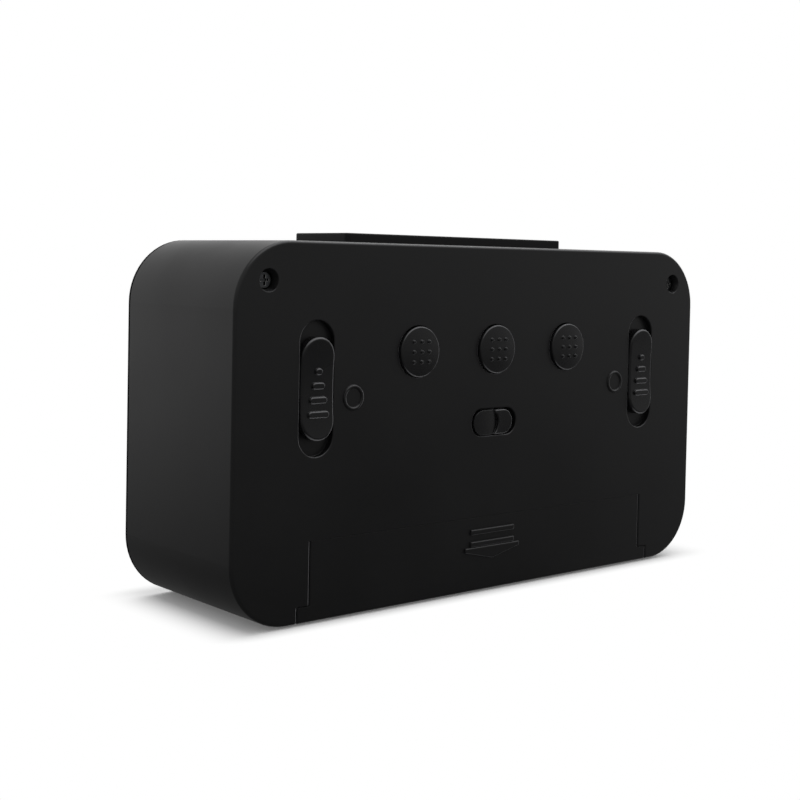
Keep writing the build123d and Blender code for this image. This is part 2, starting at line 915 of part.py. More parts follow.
def nail_notch(top):
    # A ramp that falls from one end of the selector to a step with a round outline
    end_x = selector_x + selector_knob_length / 2
    round_x = end_x - notch_share * selector_knob_length + notch_radius
    outline = Pos(round_x, selector_z) * Circle(notch_radius)
    outline += Pos((round_x + end_x + cut_overrun) / 2, selector_z) * Rectangle(
        end_x + cut_overrun - round_x, 2 * notch_radius
    )
    room = depth_prism(outline, top + cut_overrun, rear_face - selector_proud)
    crest_y = top - notch_crest_drop - notch_ramp_radius
    ramp = Cylinder(notch_ramp_radius, 2 * selector_slot_width)
    return room - Pos(end_x - notch_crest_inset, crest_y, selector_z) * ramp


def selector_slider():
    top = rear_face + selector_proud
    outline = level_slot(selector_knob_length, selector_knob_width, selector_x, selector_z)
    knob = depth_prism(outline, top, selector_plate_rear - weld_depth)
    knob -= nail_notch(top)
    knob = fillet(knob.faces().sort_by(Axis.Y)[-1].edges(), selector_edge_fillet)
    knob += block(
        span(selector_x, selector_plate_length()),
        (selector_plate_front, selector_plate_rear),
        span(selector_z, selector_slot_width + 2 * selector_plate_lap),
    )
    knob += block(
        span(selector_x, selector_stem),
        (switch_rear + rest_gap, selector_plate_front + weld_depth),
        span(selector_z, selector_stem),
    )
    return knob - lever_pocket(selector_x, selector_z)


def selector_switch():
    return on_key_board(slide_switch(selector_travel), 0, selector_z)


def snooze_bar():
    top = case_height + snooze_proud
    lip_high = top_inner - rest_gap
    lip_low = lip_high - snooze_lip_thick
    spot = Pos(0, snooze_mid_y)
    cap = height_prism(spot * RectangleRounded(snooze_length, snooze_depth, snooze_corner), lip_low, top)
    cap = fillet(cap.edges().group_by(Axis.Z)[-1], snooze_edge_fillet)
    lip = Rectangle(snooze_length + 2 * snooze_lip, snooze_depth + 2 * snooze_lip)
    bar = cap + height_prism(spot * lip, lip_low, lip_high)
    roof = top - snooze_wall
    inside = Rectangle(snooze_length - 2 * snooze_wall, snooze_depth - 2 * snooze_wall)
    bar -= height_prism(spot * inside, lip_low - cut_overrun, roof)
    stem_low = snooze_board_high + tact_thick + tact_plunger_rise
    for x in sides(snooze_switch_x):
        stem = Pos(x, snooze_mid_y) * Circle(snooze_stem_radius)
        bar += height_prism(stem, stem_low, roof + weld_depth)
    return bar


def snooze_board():
    half = snooze_post_x + snooze_board_end
    thickness = (snooze_board_low, snooze_board_high)
    board = block((-half, half), span(snooze_mid_y, snooze_board_depth), thickness)
    for x in sides(snooze_post_x):
        hole = Pos(x, snooze_mid_y) * Circle(board_hole_radius)
        board -= height_prism(hole, snooze_board_low - cut_overrun, snooze_board_high + cut_overrun)
    return board


def on_snooze_board(shape):
    return group(Pos(x, snooze_mid_y, snooze_board_high) * shape for x in sides(snooze_switch_x))


def snooze_board_screws():
    turned = Rot(180, 0, 0) * small_screw()
    return group(Pos(x, snooze_mid_y, snooze_board_low) * turned for x in sides(snooze_post_x))


def link_pins():
    pins = []
    level = key_board_high - pin_drop
    for number in range(pin_count):
        x = (number - (pin_count - 1) / 2) * pin_pitch
        end_y = key_front - pin_reach
        corner = [(x, key_front, level), (x, end_y, level), (x, end_y, snooze_board_low)]
        path = FilletPolyline(*corner, radius=pin_bend)
        section = Plane.XZ.offset(-key_front) * Pos(x, level) * Rectangle(pin_size, pin_size)
        pins.append(sweep(section, path=path))
    return group(pins)


def battery_door():
    form = outer_form()
    leg = block(
        (-door_half, door_half), (rear_face - door_thick, rear_face), (door_foot_height, door_top)
    )
    foot = block(
        (-door_foot_half, door_foot_half), (rear_face - door_thick, rear_face), (0, door_foot_height)
    )
    strip = block((-door_foot_half, door_foot_half), (door_foot_front, rear_face), (0, side_wall))
    door = (leg + foot + strip) & form
    door = fillet(door_uprights(door, 0), door_side_round)

    tongue_z = (door_foot_height + door_gap + tongue_edge, door_top - tongue_top_inset)
    for side in [-1, 1]:
        reach = sorted([side * (door_half - tongue_root), side * (door_half + tongue_width)])
        door += block(reach, (tongue_front, tongue_rear), tongue_z)
        root = sorted([side * (door_half - tongue_root), side * door_half])
        door += block(root, (tongue_front, rear_face - door_thick + weld_depth), tongue_z)
    rib_y = (cell_y + cell_radius + cell_gap, rear_face - door_thick + weld_depth)
    for x in sides(door_rib_x):
        door += block(span(x, door_rib_width), rib_y, span(cell_z, cell_radius))

    raised = rear_face + grip_raise
    sunk = rear_face - weld_depth
    for number in range(grip_bars):
        z = door_top - grip_bar_drop - number * grip_bar_pitch
        bar = block(span(0, grip_bar_length), (sunk, raised), span(z, grip_bar_height))
        door += fillet(bar.edges().group_by(Axis.Y)[-1], grip_round)
    arrow_z = door_top - arrow_drop
    arrow = Polyline(
        (-arrow_width / 2, arrow_z),
        (-arrow_width / 2, arrow_z - arrow_side),
        (0, arrow_z - arrow_side - arrow_fall),
        (arrow_width / 2, arrow_z - arrow_side),
        (arrow_width / 2, arrow_z),
        close=True,
    )
    plate = depth_prism(make_face(arrow), raised, sunk)
    return door + fillet(plate.edges().group_by(Axis.Y)[-1], grip_round)


def battery_cell(positive_x):
    # A cell along X whose raised positive end points to -X
    axis = Plane.YZ.offset(positive_x) * Pos(cell_y, cell_z)
    nub = extrude(axis * Circle(cell_nub_radius), amount=cell_length)
    can_start = Plane.YZ.offset(positive_x + cell_nub_length) * Pos(cell_y, cell_z)
    return nub + extrude(can_start * Circle(cell_radius), amount=cell_length - cell_nub_length)


def battery_plates():
    plates = []
    for x in sides(bay_half - contact_thick / 2):
        plate = block(span(x, contact_thick), span(cell_y, contact_width), span(cell_z, contact_height))
        tab = block(
            span(x, contact_thick), (bay_outer_front - tab_reach, cell_y), span(cell_z, tab_height)
        )
        plates.append(plate + tab)
    return group(plates)


def biarc(start, start_way, end, end_way):
    # Two arcs that leave along one direction, meet smoothly and arrive along the other
    chord = end - start
    ways = start_way + end_way
    spread = 2 * (1 - start_way.dot(end_way))
    reach = (-chord.dot(ways) + math.sqrt(chord.dot(ways) ** 2 + spread * chord.dot(chord))) / spread
    middle = (start + end + (start_way - end_way) * reach) * 0.5
    first = TangentArc(start, middle, tangent=start_way)
    second = TangentArc(middle, end, tangent=first % 1)
    return [first, second]


def battery_spring():
    # A coil that narrows from the contact plate to the cell's flat end
    margin = spring_wire_radius + spring_end_gap
    x_base = bay_half - contact_thick - margin
    x_run = spring_length - 2 * margin
    quarters = round(4 * spring_turns)

    def place(quarter):
        share = quarter / quarters
        angle = quarter * math.pi / 2
        radius = spring_base_radius + (spring_tip_radius - spring_base_radius) * share
        x = x_base - x_run * share
        return Vector(x, cell_y + radius * math.cos(angle), cell_z + radius * math.sin(angle))

    def heading(quarter):
        step_share = 0.001
        return (place(quarter + step_share) - place(quarter - step_share)).normalized()

    arcs = []
    for quarter in range(quarters):
        arcs += biarc(place(quarter), heading(quarter), place(quarter + 1), heading(quarter + 1))
    section = Plane(origin=place(0), z_dir=heading(0)) * Circle(spring_wire_radius)
    samples = 64
    track = [place(number * 4 / samples) for number in range(quarters * samples // 4)]
    gaps = [
        (track[i] - track[j]).length
        for i in range(len(track))
        for j in range(i + samples // 2, len(track))
    ]
    print("battery spring least gap to itself", round(min(gaps) - 2 * spring_wire_radius, 2))
    return sweep(section, path=Wire(arcs))


def battery_lead(side):
    # An insulated wire from a contact tab round to the main board
    x_tab = side * (bay_half - contact_thick / 2)
    x_board = x_tab - side * wire_inset
    y_tab = bay_outer_front - tab_reach
    y_turn = (y_tab + main_rear) / 2
    z_board = cell_z + wire_rise
    points = [
        (x_tab, y_tab, cell_z),
        (x_tab, y_turn, cell_z),
        (x_board, y_turn, z_board),
        (x_board, main_rear, z_board),
    ]
    path = FilletPolyline(*points, radius=wire_bend_share * (y_tab - y_turn))
    section = Plane.XZ.offset(-y_tab) * Pos(x_tab, cell_z) * Circle(wire_radius)
    return sweep(section, path=path)


def case_screws():
    shank = height_prism(Circle(case_screw_radius), -case_screw_length, 0)
    head = height_prism(Circle(case_head_radius), 0, case_head_thick)
    cross = Box(cross_length, cross_width, cross_depth) + Box(cross_width, cross_length, cross_depth)
    screw = shank + head - Pos(0, 0, case_head_thick - cross_depth / 2) * cross
    turned = Rot(-90, 0, 0) * screw
    return group(Pos(x, recess_seat, screw_z) * turned for x in sides(screw_x))


def rubber_feet():
    feet = []
    for x, y in foot_places():
        feet.append(height_prism(Pos(x, y) * Circle(foot_radius), -foot_stand, foot_sunk))
    return group(feet)


def all_pieces():
    cell_start = -bay_half + contact_thick
    upright_lever = Rot(0, 0, 90) * slide_lever()
    pieces = {
        "rear_case": rear_case(),
        "front_bezel": front_bezel(),
        "front_lens": front_lens(),
        "lcd_panel": lcd_panel(),
        "lcd_holder": lcd_holder(),
        "light_guide": light_guide(),
        "backlight_leds": backlight_leds(),
        "zebra_strip": zebra_strip(),
        "main_board": main_board(),
        "main_board_screws": main_board_screws(),
        "clock_chip": clock_chip(),
        "quartz_crystal": quartz_crystal(),
        "smoothing_capacitor": smoothing_capacitor(),
        "buzzer": buzzer(),
        "ribbon_sockets": ribbon_sockets(),
        "ribbon_cable": ribbon_cable(),
        "key_board": key_board(),
        "key_board_screws": key_board_screws(),
        "tact_switches": tact_switches(),
        "slide_switches": slide_switches(),
        "selector_slider": selector_slider(),
        "selector_switch": selector_switch(),
        "selector_lever": on_key_board(slide_lever(), selector_x, selector_z),
        "snooze_bar": snooze_bar(),
        "snooze_board": snooze_board(),
        "snooze_switches": on_snooze_board(tact_switch()),
        "snooze_plungers": on_snooze_board(tact_plunger()),
        "snooze_board_screws": snooze_board_screws(),
        "link_pins": link_pins(),
        "battery_door": battery_door(),
        "battery_cell_left": battery_cell(cell_start),
        "battery_cell_right": battery_cell(cell_start + cell_length),
        "battery_plates": battery_plates(),
        "battery_spring": battery_spring(),
        "battery_lead_red": battery_lead(-1),
        "battery_lead_black": battery_lead(1),
        "case_screws": case_screws(),
        "rubber_feet": rubber_feet(),
    }
    for name, x in [("left", -button_pitch), ("middle", 0), ("right", button_pitch)]:
        pieces[f"set_button_{name}"] = set_button(x)
        pieces[f"tact_plunger_{name}"] = on_key_board(tact_plunger(), x, button_z)
    for name, x in [("left", -slider_x), ("right", slider_x)]:
        pieces[f"alarm_slider_{name}"] = alarm_slider(x)
        pieces[f"slide_lever_{name}"] = on_key_board(upright_lever, x, slider_z)
    return pieces


# The feet stand on Z = 0, and the whole depth, button dots included, is centred on Y = 0
home = Pos(0, -rear_proud / 2, foot_stand)
os.makedirs("parts", exist_ok=True)
for name, piece in all_pieces().items():
    export_step(home * piece, f"parts/{name}.step")
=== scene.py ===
import bpy
import math
import numpy as np
from mathutils import Matrix, Vector


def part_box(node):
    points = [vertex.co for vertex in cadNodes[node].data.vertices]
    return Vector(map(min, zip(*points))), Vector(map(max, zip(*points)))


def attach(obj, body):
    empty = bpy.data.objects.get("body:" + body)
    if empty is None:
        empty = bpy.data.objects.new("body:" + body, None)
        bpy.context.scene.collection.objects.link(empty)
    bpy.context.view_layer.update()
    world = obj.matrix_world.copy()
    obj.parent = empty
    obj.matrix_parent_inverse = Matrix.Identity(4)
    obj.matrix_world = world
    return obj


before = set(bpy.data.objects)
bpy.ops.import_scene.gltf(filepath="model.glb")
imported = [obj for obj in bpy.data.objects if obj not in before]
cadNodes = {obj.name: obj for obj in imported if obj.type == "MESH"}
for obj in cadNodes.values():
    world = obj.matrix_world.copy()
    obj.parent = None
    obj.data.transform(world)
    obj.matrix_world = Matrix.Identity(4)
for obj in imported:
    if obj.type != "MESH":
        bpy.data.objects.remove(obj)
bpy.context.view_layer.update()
scene = bpy.context.scene
scene.view_settings.view_transform = "Standard"
print("clock frame loaded,", len(cadNodes), "nodes")


def hexLinear(code):   # sRGB hex to linear red, green, blue and alpha, by the standard's own curve
    part = np.array([int(code[i:i + 2], 16) for i in (1, 3, 5)]) / 255
    curved = ((part + 0.055) / 1.055) ** 2.4
    return (*np.where(part <= 0.04045, part / 12.92, curved).tolist(), 1.0)


def metres(mm):
    return mm / 1000


def perMetre(mm):   # scale of a pattern whose repeat is mm wide
    return 1000 / mm


def addNode(tree, kind, inputs=None, **settings):
    node = tree.nodes.new(kind)
    for key, value in settings.items():
        setattr(node, key, value)
    for key, value in (inputs or {}).items():
        socket = node.inputs[key]
        if isinstance(value, bpy.types.NodeSocket):
            tree.links.new(value, socket)
        else:
            socket.default_value = value
    return node


def newTree(name):
    mat = bpy.data.materials.new(name)
    mat.use_nodes = True
    mat.node_tree.nodes.clear()
    return mat, mat.node_tree


def dress(mat, *names):   # gives a CAD node its finish, through its own material slots
    for name in names:
        for held in cadNodes[name].material_slots:
            held.material = mat


def newPiece(name, verts, faces, mat):
    mesh = bpy.data.meshes.new(name)
    mesh.from_pydata(verts, [], faces)
    mesh.update()
    mesh.materials.append(mat)
    piece = bpy.data.objects.new(name, mesh)
    scene.collection.objects.link(piece)
    return piece


# Camera: from behind, on the side that shows the +X end, in metres and degrees
cameraView = {"place": (0.20085, 0.223255, 0.06805), "azimuth": 139.607, "elevation": 1.846,
              "roll": 1.154, "lens": 61.859, "shiftY": -0.11477, "clipStart": 0.01}


def placeCamera(view):   # looks against back, with right and up turned about that by the roll
    turn, tilt, roll = (math.radians(view[key]) for key in ("azimuth", "elevation", "roll"))
    level = math.cos(tilt)
    back = Vector((math.sin(turn) * level, -math.cos(turn) * level, math.sin(tilt)))
    right = (-back).cross(Vector((0, 0, 1))).normalized()
    up = right.cross(-back)
    rolledRight = math.cos(roll) * right + math.sin(roll) * up
    rolledUp = math.cos(roll) * up - math.sin(roll) * right
    data = bpy.data.cameras.new("camera")
    data.lens = view["lens"]
    data.shift_y = view["shiftY"]
    data.clip_start = view["clipStart"]
    eye = bpy.data.objects.new("camera", data)
    scene.collection.objects.link(eye)
    axes = Matrix((rolledRight, rolledUp, back)).transposed().to_4x4()
    eye.matrix_world = Matrix.Translation(view["place"]) @ axes
    scene.camera = eye


placeCamera(cameraView)
print("camera placed")

# World: white to the rays that show the background, a little softer as light on the clock
whiteWorld = {"colour": "#ffffff", "shown": 1.0, "soft": 0.85}


def backgroundRays(tree):   # 1 for rays that show the background: camera, glossy and transmission
    path = addNode(tree, "ShaderNodeLightPath").outputs
    either = addNode(tree, "ShaderNodeMath", {0: path["Is Camera Ray"], 1: path["Is Glossy Ray"]},
                     operation="MAXIMUM").outputs[0]
    return addNode(tree, "ShaderNodeMath", {0: either, 1: path["Is Transmission Ray"]},
                   operation="MAXIMUM").outputs[0]


def makeWorld(look):
    world = bpy.data.worlds.new("whiteStudio")
    world.use_nodes = True
    tree = world.node_tree
    tree.nodes.clear()
    colour = hexLinear(look["colour"])
    soft = addNode(tree, "ShaderNodeBackground", {"Color": colour, "Strength": look["soft"]})
    white = addNode(tree, "ShaderNodeBackground", {"Color": colour, "Strength": look["shown"]})
    both = addNode(tree, "ShaderNodeMixShader",
                   {0: backgroundRays(tree), 1: soft.outputs[0], 2: white.outputs[0]})
    addNode(tree, "ShaderNodeOutputWorld", {"Surface": both.outputs[0]})
    scene.world = world


# Floor: matte white paper that keeps the shadow near the clock's foot and is plain white beyond.
# The shade starts to fade at shadeReach outside the foot and is gone at whiteReach, in metres, and
# lift is a faint glow that keeps it from going black
paperFloor = {"half": 3.0, "colour": "#f4f4f4", "lift": 0.03, "white": 1.0,
              "footMid": (-0.002, -0.0026), "footHalf": (0.061, 0.0198), "footSpread": (0.5, 1.0),
              "shadeReach": -0.001, "whiteReach": 0.0055}


def outsideFoot(tree, place, look):   # distance outside the foot, each way times its spread
    fromMid = addNode(tree, "ShaderNodeVectorMath", {0: place, 1: (*look["footMid"], 0)},
                      operation="SUBTRACT").outputs[0]
    side = addNode(tree, "ShaderNodeVectorMath", {0: fromMid}, operation="ABSOLUTE").outputs[0]
    beyond = addNode(tree, "ShaderNodeVectorMath", {0: side, 1: (*look["footHalf"], 0)},
                     operation="SUBTRACT").outputs[0]
    outside = addNode(tree, "ShaderNodeVectorMath", {0: beyond}, operation="MAXIMUM").outputs[0]
    scaled = addNode(tree, "ShaderNodeVectorMath", {0: outside, 1: (*look["footSpread"], 0)},
                     operation="MULTIPLY").outputs[0]
    return addNode(tree, "ShaderNodeVectorMath", {0: scaled}, operation="LENGTH").outputs["Value"]


def makeFloor(look):   # a flat square about the clock
    mat, tree = newTree("whitePaperSweep")
    place = addNode(tree, "ShaderNodeTexCoord").outputs["Object"]
    fade = addNode(tree, "ShaderNodeMapRange",
                   {"Value": outsideFoot(tree, place, look),
                    "From Min": look["shadeReach"], "From Max": look["whiteReach"]},
                   interpolation_type="SMOOTHSTEP").outputs["Result"]
    whiten = addNode(tree, "ShaderNodeMath", {0: fade, 1: backgroundRays(tree)},
                     operation="MULTIPLY").outputs[0]
    camera = addNode(tree, "ShaderNodeLightPath").outputs["Is Camera Ray"]
    lift = addNode(tree, "ShaderNodeMath", {0: camera, 1: look["lift"]},
                   operation="MULTIPLY").outputs[0]
    paper = addNode(tree, "ShaderNodeBsdfDiffuse", {"Color": hexLinear(look["colour"])})
    glow = addNode(tree, "ShaderNodeEmission", {"Strength": lift})
    lit = addNode(tree, "ShaderNodeAddShader", {0: paper.outputs[0], 1: glow.outputs[0]})
    white = addNode(tree, "ShaderNodeEmission", {"Strength": look["white"]})
    both = addNode(tree, "ShaderNodeMixShader",
                   {0: whiten, 1: lit.outputs[0], 2: white.outputs[0]})
    addNode(tree, "ShaderNodeOutputMaterial", {"Surface": both.outputs[0]})
    corners = np.array([[-1, -1, 0], [1, -1, 0], [1, 1, 0], [-1, 1, 0]]) * look["half"]
    newPiece("floor", corners.tolist(), [[0, 1, 2, 3]], mat)


# Soft box above the front corner on the -X side, aimed at the clock
softBox = {"place": (-0.55, -0.3, 0.68), "size": (0.9, 0.7), "watts": 3.0}


def makeSoftBox(look):
    data = bpy.data.lights.new("softBox", "AREA")
    data.shape = "RECTANGLE"
    data.size, data.size_y = look["size"]
    data.energy = look["watts"]
    lamp = bpy.data.objects.new("softBox", data)
    scene.collection.objects.link(lamp)
    place = Vector(look["place"])
    aim = place.to_track_quat("Z", "Y").to_matrix().to_4x4()   # a lamp shines along its own -Z
    lamp.matrix_world = Matrix.Translation(place) @ aim


# Grey card round the clock that only reflections see: dark close to the clock and behind it,
# lighter higher up and towards the lamp's side
greyCard = {"steps": 73, "foot": (0.052, 0.012), "far": 0.75, "lift": 0.0002, "high": 0.5,
            "top": 2.0, "brightSide": (-0.45, -0.893, 0.0), "dark": 0.27, "bright": 1.08,
            "power": 3.0, "near": 0.03, "nearShare": 0.42, "sky": 0.72}


def makeCard(look):
    # For each direction round the clock: from a rectangle at its foot out along the floor, then up
    # a round wall
    turn = np.radians(np.linspace(-180, 180, look["steps"]))
    halfX, halfY = look["foot"]
    foot = 1 / np.maximum(abs(np.sin(turn)) / halfX, abs(np.cos(turn)) / halfY)
    wall = np.full_like(turn, look["far"])
    reach = np.stack([foot, wall, wall, wall], 1)
    rise = np.broadcast_to([look["lift"], look["lift"], look["high"], look["top"]], reach.shape)
    run = np.stack([reach * np.sin(turn)[:, None], reach * np.cos(turn)[:, None], rise], -1)
    wide, deep = reach.shape
    first = (np.arange(wide - 1)[:, None] * deep + np.arange(deep - 1)).ravel()
    faces = np.stack([first, first + 1, first + deep + 1, first + deep], 1)
    mat, tree = newTree("greyCard")
    place = addNode(tree, "ShaderNodeTexCoord").outputs["Object"]
    level = addNode(tree, "ShaderNodeVectorMath", {0: place, 1: (1, 1, 0)},
                    operation="MULTIPLY").outputs[0]
    far = addNode(tree, "ShaderNodeVectorMath", {0: level}, operation="LENGTH").outputs["Value"]
    way = addNode(tree, "ShaderNodeVectorMath", {0: level}, operation="NORMALIZE").outputs[0]
    facing = addNode(tree, "ShaderNodeVectorMath", {0: way, 1: look["brightSide"]},
                     operation="DOT_PRODUCT").outputs["Value"]
    turned = addNode(tree, "ShaderNodeMapRange",
                     {"Value": facing, "From Min": -1.0}).outputs["Result"]
    steep = addNode(tree, "ShaderNodeMath", {0: turned, 1: look["power"]},
                    operation="POWER").outputs[0]
    shown = addNode(tree, "ShaderNodeMath", {0: steep, 1: look["bright"], 2: look["dark"]},
                    operation="MULTIPLY_ADD").outputs[0]
    near = addNode(tree, "ShaderNodeMapRange",
                   {"Value": far, "From Min": look["near"], "From Max": look["far"],
                    "To Min": look["nearShare"]}).outputs["Result"]
    floorGrey = addNode(tree, "ShaderNodeMath", {0: shown, 1: near},
                        operation="MULTIPLY").outputs[0]
    high = addNode(tree, "ShaderNodeSeparateXYZ", {0: place}).outputs["Z"]
    strength = addNode(tree, "ShaderNodeMapRange",
                       {"Value": high, "From Max": look["high"], "To Min": floorGrey,
                        "To Max": look["sky"]}).outputs["Result"]
    glow = addNode(tree, "ShaderNodeEmission", {"Strength": strength})
    addNode(tree, "ShaderNodeOutputMaterial", {"Surface": glow.outputs[0]})
    card = newPiece("greyCard", run.reshape(-1, 3).tolist(), faces.tolist(), mat)
    card.visible_camera = card.visible_diffuse = card.visible_shadow = False
    card.visible_transmission = card.visible_volume_scatter = False


makeWorld(whiteWorld)
makeFloor(paperFloor)
makeSoftBox(softBox)
makeCard(greyCard)
print("studio lit")


# Patterns: each gives a function that draws 0 or 1 over an object's own coordinates
def stripes(axis, repeatMm, share, shiftMm=0.0):
    def draw(tree, place):
        along = addNode(tree, "ShaderNodeSeparateXYZ", {0: place}).outputs[axis]
        turns = addNode(tree, "ShaderNodeMath",
                        {0: along, 1: perMetre(repeatMm), 2: shiftMm / repeatMm},
                        operation="MULTIPLY_ADD").outputs[0]
        part = addNode(tree, "ShaderNodeMath", {0: turns}, operation="FRACT").outputs[0]
        return addNode(tree, "ShaderNodeMath", {0: part, 1: share},
                       operation="LESS_THAN").outputs[0]
    return draw


def dots(repeatMm, radiusMm):   # round spots in the middles of a square grid in X and Z
    cellMiddle = (0.5, 0, 0.5)

    def draw(tree, place):
        size = perMetre(repeatMm)
        scaled = addNode(tree, "ShaderNodeVectorMath", {0: place, 1: (size, 0, size)},
                         operation="MULTIPLY").outputs[0]
        cell = addNode(tree, "ShaderNodeVectorMath", {0: scaled}, operation="FRACTION").outputs[0]
        off = addNode(tree, "ShaderNodeVectorMath", {0: cell, 1: cellMiddle},
                      operation="SUBTRACT").outputs[0]
        far = addNode(tree, "ShaderNodeVectorMath", {0: off}, operation="LENGTH").outputs["Value"]
        return addNode(tree, "ShaderNodeMath", {0: far, 1: radiusMm / repeatMm},
                       operation="LESS_THAN").outputs[0]
    return draw


def tracks(repeatMm, share, patchMm):   # lines that run across in some patches, along in the others
    noiseMiddle = 0.5

    def draw(tree, place):
        patch = addNode(tree, "ShaderNodeTexNoise",
                        {"Vector": place, "Scale": perMetre(patchMm)}).outputs["Fac"]
        which = addNode(tree, "ShaderNodeMath", {0: patch, 1: noiseMiddle},
                        operation="GREATER_THAN").outputs[0]
        across = stripes("X", repeatMm, share)(tree, place)
        along = stripes("Z", repeatMm, share)(tree, place)
        return addNode(tree, "ShaderNodeMix",
                       {"Factor": which, "A": across, "B": along}).outputs["Result"]
    return draw


# Painted highlight: a rim pales as if lit from above and from -X. How far a rim's round faces
# backwards, times how far it faces up, down or to -X, is 0.5 halfway round. The rim pales from
# turnStart to turnFull of that, and the weights say how much each way counts. leanFull is the
# cosine of the lean at which a sharp edge is palest
wearAndHighlightLook = {"leanFull": 0.8, "turnStart": 0.2, "turnFull": 0.45, "keyHighlightWeights": (1.0, 0.85, 1.0),
            "arrowHighlightWeight": 0.62, "doorSideHighlightWeight": 1.0, "caseUpHighlightWeight": 0.7, "caseDownHighlightWeight": 0.0,
            "arrowMm": 0.4, "besideDoorMm": 2.0}
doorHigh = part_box("battery_door")[1]
gripFoot = doorHigh.y - metres(wearAndHighlightLook["arrowMm"])   # only the raised arrow lies behind this
highlightHalf = doorHigh.x + metres(wearAndHighlightLook["besideDoorMm"])   # wells and slot within, corners beyond


# Sharp edges pale, on the screws: worn plating and a painted glint
def edgeWearAndGlint(tree, edge):   # 1 along sharp edges, where the rounded normal leans away
    own = addNode(tree, "ShaderNodeNewGeometry").outputs["Normal"]
    lean = addNode(tree, "ShaderNodeVectorMath", {0: edge, 1: own},
                   operation="DOT_PRODUCT").outputs["Value"]
    return addNode(tree, "ShaderNodeMapRange",
                   {"Value": lean, "From Min": 1.0,
                    "From Max": wearAndHighlightLook["leanFull"]}).outputs["Result"]


def paintedRimHighlight(tree, edge, up, down, side):
    # Painted highlight: 1 where an edge's round faces backwards and also up, down or to -X, by
    # those three weights
    turn = addNode(tree, "ShaderNodeSeparateXYZ", {0: edge}).outputs
    rise, drop, slip = (addNode(tree, "ShaderNodeMath", {0: turn[axis], 1: weight},
                                operation="MULTIPLY").outputs[0]
                        for axis, weight in (("Z", up), ("Z", down), ("X", side)))
    least = addNode(tree, "ShaderNodeMath", {0: slip, 1: drop}, operation="MINIMUM").outputs[0]
    turned = addNode(tree, "ShaderNodeMath", {0: least, 1: -1.0}, operation="MULTIPLY").outputs[0]
    most = addNode(tree, "ShaderNodeMath", {0: rise, 1: turned}, operation="MAXIMUM").outputs[0]
    both = addNode(tree, "ShaderNodeMath", {0: turn["Y"], 1: most},
                   operation="MULTIPLY").outputs[0]
    return addNode(tree, "ShaderNodeMapRange",
                   {"Value": both, "From Min": wearAndHighlightLook["turnStart"],
                    "From Max": wearAndHighlightLook["turnFull"]}).outputs["Result"]


def keyRimHighlight(tree, edge):   # painted highlight on key rims facing up, down or -X
    return paintedRimHighlight(tree, edge, *wearAndHighlightLook["keyHighlightWeights"])


def doorRimHighlight(tree, edge):   # painted highlight on arrow rims, and -X rims elsewhere
    place = addNode(tree, "ShaderNodeTexCoord").outputs["Object"]
    back = addNode(tree, "ShaderNodeSeparateXYZ", {0: place}).outputs["Y"]
    proud = addNode(tree, "ShaderNodeMath", {0: back, 1: gripFoot},
                    operation="GREATER_THAN").outputs[0]
    grip = addNode(tree, "ShaderNodeMath", {0: proud, 1: wearAndHighlightLook["arrowHighlightWeight"]},
                   operation="MULTIPLY").outputs[0]
    return paintedRimHighlight(tree, edge, grip, grip, wearAndHighlightLook["doorSideHighlightWeight"])


def caseRimHighlight(tree, edge):   # painted highlight on up rims, and on -X rims but not the case's sides
    place = addNode(tree, "ShaderNodeTexCoord").outputs["Object"]
    along = addNode(tree, "ShaderNodeSeparateXYZ", {0: place}).outputs["X"]
    out = addNode(tree, "ShaderNodeMath", {0: along}, operation="ABSOLUTE").outputs[0]
    inner = addNode(tree, "ShaderNodeMath", {0: out, 1: highlightHalf},
                    operation="LESS_THAN").outputs[0]
    return paintedRimHighlight(tree, edge, wearAndHighlightLook["caseUpHighlightWeight"], wearAndHighlightLook["caseDownHighlightWeight"], inner)


# What all finishes share: the detail of cloud and grain, the levels that the cloud mostly keeps
# between, and the samples of a rounded edge
skinBase = {"cloudDetail": 4.0, "grainDetail": 2.0, "cloudLow": 0.3, "cloudHigh": 0.7,
            "edgeSamples": 6}


